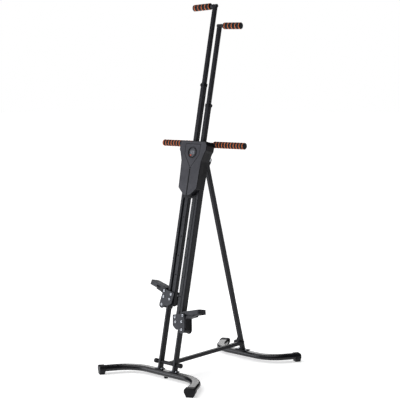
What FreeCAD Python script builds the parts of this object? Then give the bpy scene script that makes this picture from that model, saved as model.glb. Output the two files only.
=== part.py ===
"""Vertical climber machine: a leaning twin-post frame, two opposed arms, a folding rear leg."""
import FreeCAD, Part
import math
import os

V = FreeCAD.Vector

# ---- Driving dimensions, in millimetres and degrees ----
LEAN = 11.75                 # the posts lean this far back from vertical
REST_OFFSET = 62.5           # left arm stands this far above mid stroke, right arm as far below

BASE_WIDTH, BASE_HEIGHT, BASE_WALL = 60.0, 33.0, 2.0      # flat-oval base tube, lying flat
BASE_Z = 33.0                # height of the base tubes' centre line
BASE_TOP = BASE_Z + BASE_HEIGHT / 2
BASE_TURN = 61.0             # each end of a base curls this far round before its straight tail
# Middle's Y, half length of the straight middle, bend radius, tail length, and side it curls to.
FRONT_BASE = (3.0, 148.0, 195.0, 108.0, -1)
REAR_BASE = (697.0, 114.0, 166.0, 100.0, 1)
CAP_SLEEVE, CAP_NOSE, CAP_WIDTH, CAP_HEIGHT = 28.0, 7.0, 68.0, 39.0
PAD_LENGTH, PAD_HEIGHT, PAD_FOOT, PAD_TOP = 32.0, 22.0, 40.0, 60.0
FOOT_PLATE = 4.0             # thickness of the plates on the bases
PLATE_TOP_Z = BASE_TOP + FOOT_PLATE
MIDDLE_FOOT_X, MIDDLE_FOOT_RADIUS = -14.0, 12.0

POST_X = 59.0                # distance of each post from the middle plane
POST_WIDTH, POST_WALL, POST_ROUND = 20.0, 1.2, 3.5
POST_FRONT, POST_BACK = -20.0, 22.5       # the posts' faces, before and behind the arms' plane
POST_JOINT, POST_TOP = 411.0, 1409.0
STUB_WIDTH, STUB_DEPTH, STUB_OVERLAP = 17.4, 35.0, 90.0

ARM_X = 29.5                 # distance of each arm tube from the middle plane
ARM_SIZE, ARM_WALL = 28.0, 2.0
ARM_TOP, ARM_HOLE_TOP, HOLE_PITCH, HOLE_RADIUS = 1707.0, 898.6, 115.1, 3.5
CARRIAGE_S = 438.0           # height of the carriage's bolt row along the arm, at mid stroke
ARM_BOTTOM = CARRIAGE_S - 70.0
CARRIAGE_TILT, PEDAL_TILT = 11.5, 14.0

# Carriage bolts, outboard and up from the first bolt, in the carriage's own tilted frame.
BOLT_SPOTS = ((0.0, 0.0), (2.4, -29.7), (61.0, 4.0), (53.0, -31.0), (50.0, -78.0))
BOLT_RADIUS, BOLT_HEAD, NUT_RADIUS = 4.0, 7.0, 6.5
CARRIAGE_INNER, CARRIAGE_OUTER, CARRIAGE_TOP, CARRIAGE_LOW = -20.0, 72.5, 15.0, -72.0
LOBE_RADIUS = 22.0
PLATE_FRONT, PLATE_BACK, PLATE_THICK = -27.0, 33.0, 4.0   # inner faces of the two side plates
BLOCK_GAP = 0.4              # slide block to post

TREAD_START, TREAD_END, TREAD_HALF, TREAD_THICK = -20.0, 116.0, 34.0, 9.0
TREAD_RISE = 36.5            # tread top above the carriage's bolt row, at the plate's outer edge
TREAD_SKIRT, TREAD_WALL, TREAD_CORNER = 28.0, 3.0, 14.0
ARM_HALF = 18.0              # half width of the pedal arm
PEDAL_X = 97.0               # outer edge of the carriage, where the tread's own frame begins
STRAP_THICK = 5.0

HANDLE_SIZE, HANDLE_WALL, HANDLE_OVERLAP = 23.0, 1.5, 310.0
HANDLE_BAR_S, HANDLE_BAR_RADIUS, HANDLE_REACH, HANDLE_DROOP = 2184.6, 11.0, 196.0, 2.0
HANDLE_STUB = 15.0           # the cross bar starts this far inward of the tube's middle
GRIP_RADIUS, GRIP_START, GRIP_ROUND, GRIP_END = 20.4, 66.0, 3.0, 3.0
PIN_DROP, PIN_NOSE = 7.0, 3.0             # height pin below the arm's top, and its radius
COLLAR_HEIGHT, COLLAR_WALL, SCREW_HEAD, KNOB_RADIUS = 18.0, 1.5, 7.4, 9.0

HANDLEBAR_S, HANDLEBAR_OFF, HANDLEBAR_RADIUS = 1409.0, 35.0, 12.5
HANDLEBAR_REACH, HANDLEBAR_GRIP_START, HANDLEBAR_GRIP_RADIUS = 324.0, 92.0, 20.2

COVER_FRONT, COVER_SPLIT, COVER_BACK, COVER_WALL = -52.0, -22.0, 24.9, 2.4
COVER_EDGE = 3.0             # chamfer round the front face
# Half outline of the housing, from its lower tip up to its top corner.
COVER_HALF = ((0, 1084), (30, 1094), (75, 1133), (79, 1240), (82, 1296), (100, 1348), (108, 1360),
              (109, 1391), (96, 1415))
COVER_CENTRE = 1270.0
GROOVE_WIDTH, GROOVE_DEPTH, SHIELD_GROOVE = 9.0, 1.8, 3.2
SHIELD_HALF = ((0, 1397), (60, 1397), (59, 1336), (5, 1262))
SCREW_SPOTS = ((60, 1160), (66, 1270), (84, 1375))
DISPLAY_S, DISPLAY_RADIUS = 1346.0, 34.0
BUTTON_S, BUTTON_HALF_X, BUTTON_HALF_S = 1255.0, 6.5, 3.2

PULLEY_S, PULLEY_OFF, PULLEY_RADIUS, PULLEY_HALF, CABLE_RADIUS = 1352.0, -35.0, 34.0, 5.0, 1.5
STUD_RADIUS, STUD_HEAD = 5.0, 8.0
LUG_S, LUG_HALF = 1215.0, 7.0

AXLE_S, AXLE_OFF, AXLE_RADIUS, AXLE_REACH = 93.0, -3.0, 6.0, 109.0
SLEEVE_HALF, SLEEVE_RADIUS, BUMPER_START, BUMPER_RADIUS = 30.0, 11.0, 84.0, 14.0
RUNNING_FIT = 0.06           # radial clearance of a turning bore

LEG_X, LEG_WIDTH, LEG_DEPTH = -13.0, 25.0, 28.0
LEG_PIVOT_Y, LEG_PIVOT_Z = 355.0, 1278.0
LEG_ANGLE = 15.95            # the leg runs down and back at this angle from vertical
LINK_X, LINK_HEIGHT = 13.0, 22.0
PIN_HEIGHT = 106.0           # height of the lock pin that joins link and leg
PIN_AHEAD = 27.0             # the lock pin stands this far in front of the leg's centre line
LOCK_PIN_RADIUS, LOCK_KNOB_RADIUS = 5.0, 11.0
EARS = ((-31.6, -27.6), (17.0, 21.0))    # where the leg bracket's two ears stand
PIVOT_HEAD = 3.2


# ---- Small helpers ----
def box(x0, x1, y0, y1, z0, z1):
    """A box between two corners."""
    return Part.makeBox(x1 - x0, y1 - y0, z1 - z0, V(x0, y0, z0))


def rod(start, end, radius):
    """A solid cylinder between two points."""
    a, b = V(*start), V(*end)
    return Part.makeCylinder(radius, (b - a).Length, a, b - a)


def face_of(points):
    """A flat face inside a closed run of points."""
    loop = [V(*p) for p in points]
    return Part.Face(Part.makePolygon(loop + [loop[0]]))


def rounded_bar(width, depth, radius, z0, z1, x=0.0, y=0.0):
    """An upright bar of rounded-rectangle section."""
    bar = box(x - width / 2, x + width / 2, y - depth / 2, y + depth / 2, z0, z1)
    upright = [e for e in bar.Edges if abs(e.Vertexes[0].Z - e.Vertexes[1].Z) > 1]
    return bar.makeFillet(radius, upright)


def rounded_tube(width, depth, radius, wall, z0, z1, x=0.0, y=0.0):
    """An upright hollow tube of rounded-rectangle section."""
    outer = rounded_bar(width, depth, radius, z0, z1, x, y)
    inner = rounded_bar(width - 2 * wall, depth - 2 * wall, max(radius - wall, 0.6), z0 - 1, z1 + 1, x, y)
    return outer.cut(inner)


def profile(points, y0, y1):
    """A plate drawn in X and Z and given its thickness along Y."""
    return face_of([(x, y0, z) for x, z in points]).extrude(V(0, y1 - y0, 0))


def group(shapes):
    """Several separate solids kept in one node."""
    return Part.makeCompound(shapes)


def mirror(shape):
    """The same shape on the other side of the middle plane."""
    return shape.mirror(V(0, 0, 0), V(1, 0, 0))


def sided(shape, side):
    """A right-hand shape (side 1), or its left-hand mirror image (side -1)."""
    return shape if side > 0 else mirror(shape)


def lean(shape):
    """Tips an upright shape back to the posts' angle; its height becomes distance along the posts."""
    tipped = shape.copy()
    tipped.rotate(V(0, 0, 0), V(1, 0, 0), -LEAN)
    return tipped


def raised(shape, side):
    """Moves an arm's part from mid stroke to its rest place along the posts."""
    moved = shape.copy()
    moved.translate(V(0, 0, -side * REST_OFFSET))
    return moved


def leaned_point(off, s):
    """Y and Z of a point that lies `off` behind the arm plane and `s` along the posts."""
    t = math.radians(LEAN)
    return s * math.sin(t) + off * math.cos(t), s * math.cos(t) - off * math.sin(t)


# ---- Base tubes and feet ----
def oval_section(x, y, shrink=0.0):
    """The base tube's flat-oval section, facing along X."""
    r = BASE_HEIGHT / 2 - shrink
    half = BASE_WIDTH / 2 - BASE_HEIGHT / 2
    top = Part.LineSegment(V(x, y - half, BASE_Z + r), V(x, y + half, BASE_Z + r))
    bottom = Part.LineSegment(V(x, y + half, BASE_Z - r), V(x, y - half, BASE_Z - r))
    back = Part.Arc(V(x, y + half, BASE_Z + r), V(x, y + half + r, BASE_Z), V(x, y + half, BASE_Z - r))
    front = Part.Arc(V(x, y - half, BASE_Z - r), V(x, y - half - r, BASE_Z), V(x, y - half, BASE_Z + r))
    return Part.Face(Part.Wire([c.toShape() for c in (top, back, bottom, front)]))


def base_end(y, straight, radius, tail, side):
    """Centre of a base tube's open right end."""
    turn = math.radians(BASE_TURN)
    x = straight + radius * math.sin(turn) + tail * math.cos(turn)
    reach = radius * (1 - math.cos(turn)) + tail * math.sin(turn)
    return x, y + side * reach


def bowed_bar(y, straight, radius, tail, side, shrink):
    """A bar of the base section: straight middle, both ends curling towards -Y or +Y."""
    section = oval_section(-straight, y, shrink)
    middle = section.extrude(V(2 * straight, 0, 0))
    start = oval_section(straight, y, shrink)
    centre = V(straight, y + side * radius, 0)
    bend = start.revolve(centre, V(0, 0, 1), side * BASE_TURN)
    end = start.copy()
    end.rotate(centre, V(0, 0, 1), side * BASE_TURN)
    turn = math.radians(BASE_TURN)
    straight_end = end.extrude(V(math.cos(turn), side * math.sin(turn), 0) * tail)
    return middle.fuse([bend, straight_end, mirror(bend), mirror(straight_end)]).removeSplitter()


def base_tube(base):
    """One hollow bowed base tube."""
    return bowed_bar(*base, 0).cut(bowed_bar(*base, BASE_WALL))


def base_cap(base):
    """The moulded cap and foot pad on a base tube's right end."""
    half = CAP_WIDTH / 2
    block = box(-CAP_SLEEVE, CAP_NOSE, -half, half, BASE_Z - CAP_HEIGHT / 2, BASE_Z + CAP_HEIGHT / 2)
    along = [e for e in block.Edges if abs(e.Vertexes[0].X - e.Vertexes[1].X) > 1]
    block = block.makeFillet(CAP_HEIGHT * 0.42, along)
    front = [e for e in block.Edges if all(abs(v.X - CAP_NOSE) < 0.01 for v in e.Vertexes)]
    block = block.makeFillet(4.0, front)
    foot, top = PAD_FOOT / 2, PAD_TOP / 2
    pad = face_of([(0, -foot, 0), (0, foot, 0), (0, top, PAD_HEIGHT), (0, -top, PAD_HEIGHT)])
    pad = pad.extrude(V(PAD_LENGTH, 0, 0))
    pad.translate(V(CAP_NOSE - 1.5 - PAD_LENGTH, 0, 0))
    pocket = oval_section(0, 0).extrude(V(-CAP_SLEEVE - PAD_LENGTH, 0, 0))
    cap = block.fuse(pad).cut(pocket)
    side = base[-1]
    cap.rotate(V(0, 0, 0), V(0, 0, 1), side * BASE_TURN)
    x, end_y = base_end(*base)
    cap.translate(V(x, end_y, 0))
    return cap


def hex_head(x, y, z, across=13.0, height=5.0):
    """An upright hexagon bolt head standing on height z."""
    r = across / math.sqrt(3)
    corners = [(x + r * math.cos(math.radians(60 * k)), y + r * math.sin(math.radians(60 * k)), z)
               for k in range(6)]
    return face_of(corners).extrude(V(0, 0, height))


# ---- Posts ----
def upper_post(side):
    return rounded_tube(POST_WIDTH, POST_BACK - POST_FRONT, POST_ROUND, POST_WALL, POST_JOINT, POST_TOP,
                        side * POST_X, (POST_FRONT + POST_BACK) / 2)


def lower_post(side):
    """The narrower stub that the upper post slides over, cut level above its foot plate."""
    x, centre = side * POST_X, POST_FRONT + POST_WALL + 0.1 + STUB_DEPTH / 2
    stub = rounded_tube(STUB_WIDTH, STUB_DEPTH, 4.0, 2.0, 20, POST_JOINT + STUB_OVERLAP, x, centre)
    stub = stub.cut(rod((x - 20, AXLE_OFF, AXLE_S), (x + 20, AXLE_OFF, AXLE_S), AXLE_RADIUS))
    return lean(stub).cut(box(-200, 200, -200, 200, -50, PLATE_TOP_Z))


# ---- Arms, carriages and pedals ----
def arm_tube(side):
    tube = rounded_tube(ARM_SIZE, ARM_SIZE, 3.0, ARM_WALL, ARM_BOTTOM, ARM_TOP, ARM_X)
    for k in range(5):
        s = ARM_HOLE_TOP - k * HOLE_PITCH
        tube = tube.cut(rod((ARM_X, -20, s), (ARM_X, 20, s), HOLE_RADIUS))
    for p, q in (BOLT_SPOTS[0], BOLT_SPOTS[1]):
        x, s = carriage_point(p, q)
        tube = tube.cut(rod((x, -20, s), (x, 20, s), BOLT_RADIUS))
    s = ARM_TOP - PIN_DROP
    tube = tube.cut(rod((ARM_X, 0, s), (ARM_X + 20, 0, s), PIN_NOSE + 0.4))
    inner = ARM_SIZE - 2 * ARM_WALL
    plug = rounded_bar(inner, inner, 1.0, ARM_BOTTOM - 2, ARM_BOTTOM + 14, ARM_X)
    return raised(sided(tube.fuse(plug), side), side)


def carriage_point(p, q):
    """X and distance along the posts of a point in the carriage's tilted frame."""
    t = math.radians(CARRIAGE_TILT)
    return (ARM_X - 1.0 + p * math.cos(t) - q * math.sin(t),
            CARRIAGE_S - 5.0 + p * math.sin(t) + q * math.cos(t))


def tilt_carriage(shape):
    """Places a shape drawn in the carriage's frame on the arm, at mid stroke."""
    placed = shape.copy()
    placed.rotate(V(0, 0, 0), V(0, 1, 0), -CARRIAGE_TILT)
    placed.translate(V(ARM_X - 1.0, 0, CARRIAGE_S - 5.0))
    return placed


def plate_blank(y0, y1, inset=0.0):
    """The carriage plate's outline: a rounded plate with a lobe at its outer lower corner."""
    inner, outer = CARRIAGE_INNER + inset, CARRIAGE_OUTER - inset
    low, top = CARRIAGE_LOW + inset, CARRIAGE_TOP - inset
    lobe_p, lobe_q = BOLT_SPOTS[-1]
    outline = [(inner + 26, low - 3), (inner, low + 22), (inner, top), (outer, top), (outer, lobe_q),
               (30, lobe_q)]
    plate = profile(outline, y0, y1)
    across = [e for e in plate.Edges if abs(e.Vertexes[0].Y - e.Vertexes[1].Y) > 1]
    corners = [e for e in across if e.Vertexes[0].X < inner + 27 and e.Vertexes[0].Z < top - 1]
    plate = plate.makeFillet(13.0, corners)
    across = [e for e in plate.Edges if abs(e.Vertexes[0].Y - e.Vertexes[1].Y) > 1]
    upper = [e for e in across if abs(e.Vertexes[0].Z - top) < 0.01 and abs(e.Vertexes[1].Z - top) < 0.01]
    plate = plate.makeFillet(6.0 - inset / 2, upper)
    lobe = rod((lobe_p, y0, lobe_q), (lobe_p, y1, lobe_q), LOBE_RADIUS - inset)
    return plate.fuse(lobe).removeSplitter()


def bolt_holes(shape, spare=0.0):
    """Drills the five carriage bolts through a shape drawn in the carriage's frame."""
    for p, q in BOLT_SPOTS:
        shape = shape.cut(rod((p, PLATE_FRONT - 20, q), (p, PLATE_BACK + 20, q), BOLT_RADIUS + spare))
    return shape


def carriage_plate(side, front):
    """One steel side plate of the carriage; the front one has a folded outer lip."""
    if front:
        plate = plate_blank(PLATE_FRONT - PLATE_THICK, PLATE_FRONT)
        lip = box(CARRIAGE_OUTER - 3, CARRIAGE_OUTER, PLATE_FRONT, -ARM_HALF - 0.5, -66, 8)
        plate = plate.fuse(lip)
    else:
        plate = plate_blank(PLATE_BACK, PLATE_BACK + PLATE_THICK)
    return raised(sided(tilt_carriage(bolt_holes(plate)), side), side)


def carriage_block(side):
    """The plastic slide block that wraps round the outside of the post between the plates."""
    body = bolt_holes(plate_blank(PLATE_FRONT, PLATE_BACK, 4.0))
    body = body.cut(box(CARRIAGE_OUTER - 6, CARRIAGE_OUTER, PLATE_FRONT - 1, -ARM_HALF, -90, 30))
    placed = tilt_carriage(body)
    post_face = POST_X + POST_WIDTH / 2 + BLOCK_GAP
    outer = placed.common(box(post_face, 200, -60, 60, 0, 900))
    lips = [placed.common(box(POST_X - 8, post_face, y0, y1, 0, 900))
            for y0, y1 in ((-60, POST_FRONT - BLOCK_GAP), (POST_BACK + BLOCK_GAP, 60))]
    block = outer.fuse(lips).removeSplitter().cut(place_pedal(arm_blank(0.0)))
    return raised(sided(block, side), side)


def carriage_bolts(side):
    """Five through bolts with round heads and nuts; the two through the arm tube have spacers."""
    bolts = []
    front, back, edge = PLATE_FRONT - PLATE_THICK, PLATE_BACK + PLATE_THICK, ARM_SIZE / 2
    for index, (p, q) in enumerate(BOLT_SPOTS):
        bolt = rod((p, front, q), (p, back, q), BOLT_RADIUS)
        parts = [rod((p, front - 3.0, q), (p, front, q), BOLT_HEAD),
                 rod((p, back, q), (p, back + 4.0, q), NUT_RADIUS)]
        if index < 2:
            parts.append(rod((p, PLATE_FRONT, q), (p, -edge, q), BOLT_HEAD))
            parts.append(rod((p, edge, q), (p, PLATE_BACK, q), BOLT_HEAD))
        bolts.append(tilt_carriage(bolt.fuse(parts)))
    return raised(sided(group(bolts), side), side)


def place_pedal(shape):
    """Places a shape drawn in the pedal's frame: outboard, across, up from the tread's top face."""
    placed = shape.copy()
    placed.rotate(V(0, 0, 0), V(0, 1, 0), -PEDAL_TILT)
    placed.translate(V(PEDAL_X, 0, CARRIAGE_S + TREAD_RISE))
    return placed


def arm_blank(gap):
    """The pedal arm: a deep steel bracket under the tread."""
    outline = [(-22, -TREAD_THICK), (64, -TREAD_THICK), (64, -38), (8, -44), (-3, -34), (-22, -32)]
    return profile(outline, -ARM_HALF - gap, ARM_HALF + gap)


def turned(shape, side):
    """Both pedals are the same part, so the left one is turned half round, not mirrored."""
    if side > 0:
        return shape
    half_round = shape.copy()
    half_round.rotate(V(0, 0, 0), V(0, 0, 1), 180)
    return half_round


def tip_corners(shape, tip):
    """The upright edges at the tread's tip."""
    upright = [e for e in shape.Edges if abs(e.Vertexes[0].Z - e.Vertexes[1].Z) > 5]
    return [e for e in upright if e.Vertexes[0].X > tip - 1]


def tread_inside(gap, bottom):
    """The space between the tread's skirts, made smaller all round by a gap."""
    half, tip = TREAD_HALF - TREAD_WALL - gap, TREAD_END - TREAD_WALL - gap
    inside = box(TREAD_START - 1, tip, -half, half, bottom, -TREAD_THICK)
    return inside.makeFillet(TREAD_CORNER - TREAD_WALL, tip_corners(inside, tip))


def pedal_arm(side):
    """The welded arm, with a strap along one edge from its foot up to the tread's tip."""
    tip = TREAD_END - TREAD_WALL - 0.1
    outline = [(30, -47), (30, -47 + STRAP_THICK), (tip, -TREAD_SKIRT + STRAP_THICK), (tip, -TREAD_SKIRT)]
    strap = profile(outline, -TREAD_HALF, 2 - ARM_HALF).common(tread_inside(0.3, -80))
    foot = profile([(8, -44), (64, -38), (64, -30), (8, -30)], TREAD_WALL + 0.3 - TREAD_HALF, ARM_HALF)
    arm = place_pedal(arm_blank(0.0).fuse([strap, foot]).removeSplitter())
    holes = Part.makeCompound([tilt_carriage(rod((p, -60, q), (p, 60, q), BOLT_RADIUS))
                               for p, q in BOLT_SPOTS])
    return raised(turned(arm.cut(holes), side), side)


def pedal_tread(side):
    """The moulded tread: a ribbed top over skirts, which stop short on one side."""
    half, tip = TREAD_HALF, TREAD_END
    plan = box(TREAD_START, tip, -half, half, -TREAD_SKIRT, 0)
    plan = plan.makeFillet(TREAD_CORNER, tip_corners(plan, tip))
    tread = plan.cut(tread_inside(0.0, -TREAD_SKIRT - 1))
    # The full skirt deepens from the carriage out to its joint; the other one starts outboard of the arm.
    taper = profile([(-40, -16), (4, -16), (52, -26), (52, -40), (-40, -40)], -half - 1, 0)
    tread = tread.cut(taper).cut(box(-40, 52, 0, half + 1, -40, -TREAD_THICK))
    tread = tread.cut(box(-40, 4, -half - 1, 0, -40, -TREAD_THICK))
    for k in range(10):
        groove = box(-60, 60, -1.1, 1.1, -1.6, 1)
        groove.rotate(V(0, 0, 0), V(0, 0, 1), 38)
        groove.translate(V(-8 + 13 * k, 0, 0))
        keep = box(TREAD_START + 5, tip - 6, -half + 5, half - 5, -2, 2)
        tread = tread.cut(groove.common(keep))
    placed = place_pedal(tread)
    for y0, y1 in ((PLATE_FRONT - PLATE_THICK, PLATE_FRONT), (PLATE_BACK, PLATE_BACK + PLATE_THICK)):
        placed = placed.cut(tilt_carriage(plate_blank(y0 - 0.2, y1 + 0.2, -0.4)))
    return raised(turned(placed, side), side)


def arm_collar(side):
    """The plastic collar in the mouth of the arm tube, with the clamp screw's head on its inner side."""
    top = ARM_TOP
    across = ARM_SIZE + 2 * COLLAR_WALL
    ring = rounded_tube(across, across, 4.0, COLLAR_WALL, top + 3 - COLLAR_HEIGHT, top + 3, ARM_X)
    lid = rounded_tube(ARM_SIZE, ARM_SIZE, 3.0, 2.1, top, top + 3, ARM_X)
    s = top - PIN_DROP
    inner = ARM_X - ARM_SIZE / 2 - COLLAR_WALL
    screw = rod((inner - 6, 0, s), (inner, 0, s), SCREW_HEAD)
    hole = rod((ARM_X, 0, s), (ARM_X + 30, 0, s), PIN_NOSE + 0.4)
    return raised(sided(ring.fuse([lid, screw]).cut(hole), side), side)


def height_pin(side):
    """The pull knob that locks the handle; its nose ends just clear of the inner tube."""
    s = ARM_TOP - PIN_DROP
    outer = ARM_X + ARM_SIZE / 2 + COLLAR_WALL
    nose = rod((ARM_X + HANDLE_SIZE / 2 + 0.4, 0, s), (outer, 0, s), PIN_NOSE)
    neck = rod((outer + 0.4, 0, s), (outer + 2.4, 0, s), 7.0)
    knob = rod((outer + 2.4, 0, s), (outer + 8.4, 0, s), KNOB_RADIUS)
    stem = rod((outer - 1, 0, s), (outer + 3, 0, s), PIN_NOSE)
    return raised(sided(nose.fuse([stem, neck, knob]), side), side)


def cable_lug(side):
    """The anchor on the arm's front face that holds one end of the cable."""
    half, depth = 7.0, -PULLEY_OFF + 4
    lug = box(ARM_X - half, ARM_X + half, -depth, -ARM_SIZE / 2, LUG_S - half, LUG_S + half)
    return raised(sided(lug, side), side)


# ---- Telescoping handles ----
def handle_bar(side):
    """The inner tube with its cross bar, which droops a little towards its end."""
    foot = ARM_TOP - HANDLE_OVERLAP
    tube = rounded_tube(HANDLE_SIZE, HANDLE_SIZE, 2.5, HANDLE_WALL, foot, HANDLE_BAR_S, ARM_X)
    tube = tube.fuse(rounded_bar(HANDLE_SIZE, HANDLE_SIZE, 2.5, HANDLE_BAR_S - 4, HANDLE_BAR_S, ARM_X))
    start, end = (ARM_X - HANDLE_STUB, 0, HANDLE_BAR_S), (HANDLE_REACH, 0, HANDLE_BAR_S)
    bar = droop(rod(start, end, HANDLE_BAR_RADIUS))
    return raised(sided(tube.fuse(bar).removeSplitter(), side), side)


def droop(shape):
    """Lowers the outer end of a cross-bar part about the arm's axis."""
    dropped = shape.copy()
    dropped.rotate(V(ARM_X, 0, HANDLE_BAR_S), V(0, 1, 0), HANDLE_DROOP)
    return dropped


def sleeve_grip(x0, x1, s, off, tube_radius, radius):
    """A foam sleeve with soft ends, closed at its outer end."""
    grip = rod((x0, off, s), (x1 + GRIP_END, off, s), radius)
    ends = [e for e in grip.Edges if len(e.Vertexes) == 1]
    grip = grip.makeFillet(GRIP_ROUND, ends)
    return grip.cut(rod((x0 - 1, off, s), (x1, off, s), tube_radius))


def handle_grip(side):
    grip = sleeve_grip(GRIP_START, HANDLE_REACH, HANDLE_BAR_S, 0, HANDLE_BAR_RADIUS, GRIP_RADIUS)
    return raised(sided(droop(grip), side), side)


# ---- Housing ----
def cover_blank(y0, y1, inset=0.0):
    """A slab of the housing's shield outline, optionally smaller all round."""
    right = [(max(x - inset, 0), z - inset if z > COVER_CENTRE else z + inset) for x, z in COVER_HALF]
    left = [(-x, z) for x, z in reversed(right) if x > 0]
    return profile(right + left, y0, y1)


def soften(shape, y, size):
    """Chamfers the outline edges of a cover that lie in one flat face."""
    rim = [e for e in shape.Edges if all(abs(v.Y - y) < 0.01 for v in e.Vertexes)]
    return shape.makeChamfer(size, rim)


def groove_cut(p0, p1, width, depth):
    """A straight groove in the cover's front face, between two points in X and along the posts."""
    dx, dz = p1[0] - p0[0], p1[1] - p0[1]
    length = math.hypot(dx, dz)
    cut = box(-width / 2, width / 2, COVER_FRONT - 1, COVER_FRONT + depth, 0, length)
    cut.rotate(V(0, 0, 0), V(0, 1, 0), math.degrees(math.atan2(dx, dz)))
    cut.translate(V(p0[0], 0, p0[1]))
    return cut


def front_cover():
    """The shield-shaped front shell with the display's round seat and its styling grooves."""
    shell = soften(cover_blank(COVER_FRONT, COVER_SPLIT), COVER_FRONT, COVER_EDGE)
    inner = COVER_FRONT + COVER_WALL
    shell = shell.cut(soften(cover_blank(inner, COVER_SPLIT + 1, COVER_WALL), inner, COVER_EDGE - 1))
    shell = shell.cut(rod((0, -70, DISPLAY_S), (0, -30, DISPLAY_S), DISPLAY_RADIUS - 4))
    wide, tall = BUTTON_HALF_X + 0.4, BUTTON_HALF_S + 0.4
    shell = shell.cut(box(-wide, wide, -70, -30, BUTTON_S - tall, BUTTON_S + tall))
    for (x0, s0), (x1, s1) in zip(SHIELD_HALF[:-1], SHIELD_HALF[1:]):
        for side in (-1, 1):
            shell = shell.cut(groove_cut((side * x0, s0), (side * x1, s1), SHIELD_GROOVE, 1.2))
    return shell.cut(groove_cut((0, BUTTON_S - 6), (0, 1070), GROOVE_WIDTH, GROOVE_DEPTH))


def rear_cover():
    """The rear shell, open below for the posts, notched for the arms, slotted for handlebar and bracket."""
    shell = soften(cover_blank(COVER_SPLIT, COVER_BACK), COVER_BACK, 10.0)
    inner = COVER_BACK - 2.0
    shell = shell.cut(soften(cover_blank(COVER_SPLIT - 1, inner, COVER_WALL), inner, 8.0))
    post_gap, top = POST_X + POST_WIDTH / 2 + 1.0, COVER_HALF[-1][1]
    arm_gap = ARM_X + ARM_SIZE / 2 + 1.0
    openings = [box(-post_gap, post_gap, COVER_SPLIT - 1, POST_BACK + 0.3, 1050, 1145),
                box(-arm_gap, arm_gap, COVER_SPLIT - 1, ARM_SIZE / 2 + 1, top - 10, top + 5)]
    for side in (-1, 1):
        tab = side * POST_X
        openings.append(box(tab - 10.6, tab + 10.6, 10, 40, HANDLEBAR_S - 26, HANDLEBAR_S + 1))
        openings.append(box(tab - 10.2, tab + 10.2, COVER_SPLIT - 1, POST_BACK + 0.2, 1100, HANDLEBAR_S + 1))
        openings.append(rod((side * (HANDLEBAR_GRIP_START - 1), HANDLEBAR_OFF, HANDLEBAR_S),
                            (side * 140, HANDLEBAR_OFF, HANDLEBAR_S), HANDLEBAR_GRIP_RADIUS + 0.5))
    openings += [box(x0 - 1, x1 + 1, 15, 40, 1225, 1372) for x0, x1 in EARS]
    openings += [rod((side * x, 0, s), (side * x, 40, s), 4.0) for side in (-1, 1) for x, s in SCREW_SPOTS]
    start, end = (-140, HANDLEBAR_OFF, HANDLEBAR_S), (140, HANDLEBAR_OFF, HANDLEBAR_S)
    openings.append(rod(start, end, HANDLEBAR_RADIUS + 0.5))
    return shell.cut(Part.makeCompound(openings))


def cover_screws():
    """Six screws through the rear shell."""
    return group([rod((side * x, COVER_BACK - 2.0, s), (side * x, COVER_BACK + 1.6, s), 4.0)
                  for side in (-1, 1) for x, s in SCREW_SPOTS])


def display_bezel():
    ring = rod((0, COVER_FRONT - 3, DISPLAY_S), (0, COVER_FRONT, DISPLAY_S), DISPLAY_RADIUS)
    outer_edges = [e for e in ring.Edges if len(e.Vertexes) == 1 and e.Vertexes[0].Y < COVER_FRONT - 1]
    ring = ring.makeFillet(1.2, outer_edges)
    sleeve = rod((0, COVER_FRONT, DISPLAY_S), (0, COVER_FRONT + 7.8, DISPLAY_S), DISPLAY_RADIUS - 4)
    mouth = rod((0, -70, DISPLAY_S), (0, COVER_FRONT + 6, DISPLAY_S), DISPLAY_RADIUS - 6.5)
    return ring.fuse(sleeve).cut(mouth)


def display_face():
    return rod((0, COVER_FRONT + 1.5, DISPLAY_S), (0, COVER_FRONT + 6, DISPLAY_S), DISPLAY_RADIUS - 6.5)


def display_button():
    """A small push button below the display; it stands in its own opening."""
    return box(-BUTTON_HALF_X, BUTTON_HALF_X, COVER_FRONT - 1.5, COVER_FRONT + 5,
               BUTTON_S - BUTTON_HALF_S, BUTTON_S + BUTTON_HALF_S)


# ---- Drive ----
def head_bracket():
    """The steel plate across the posts' fronts with the stud that carries the pulley."""
    face = POST_FRONT
    head = PULLEY_OFF - PULLEY_HALF - 4
    plate = box(-POST_X - 9, POST_X + 9, face - 4, face, 1330, 1395)
    stud = rod((0, head, PULLEY_S), (0, face - 4, PULLEY_S), STUD_RADIUS)
    flange = rod((0, head, PULLEY_S), (0, head + 2.5, PULLEY_S), STUD_HEAD)
    return plate.fuse([stud, flange])


def pulley():
    """A grooved wheel whose groove carries the cable at the arms' spacing."""
    front, back = PULLEY_OFF - PULLEY_HALF, PULLEY_OFF + PULLEY_HALF
    wheel = rod((0, front, PULLEY_S), (0, back, PULLEY_S), PULLEY_RADIUS)
    groove = Part.makeTorus(ARM_X, CABLE_RADIUS + 0.1, V(0, PULLEY_OFF, PULLEY_S), V(0, 1, 0))
    rim = rod((0, PULLEY_OFF - 1.6, PULLEY_S), (0, PULLEY_OFF + 1.6, PULLEY_S), PULLEY_RADIUS + 1)
    rim = rim.cut(rod((0, PULLEY_OFF - 2, PULLEY_S), (0, PULLEY_OFF + 2, PULLEY_S), ARM_X))
    bore = rod((0, front - 1, PULLEY_S), (0, back + 1, PULLEY_S), STUD_RADIUS + RUNNING_FIT)
    return wheel.cut(rim).cut(groove).cut(bore)


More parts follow.
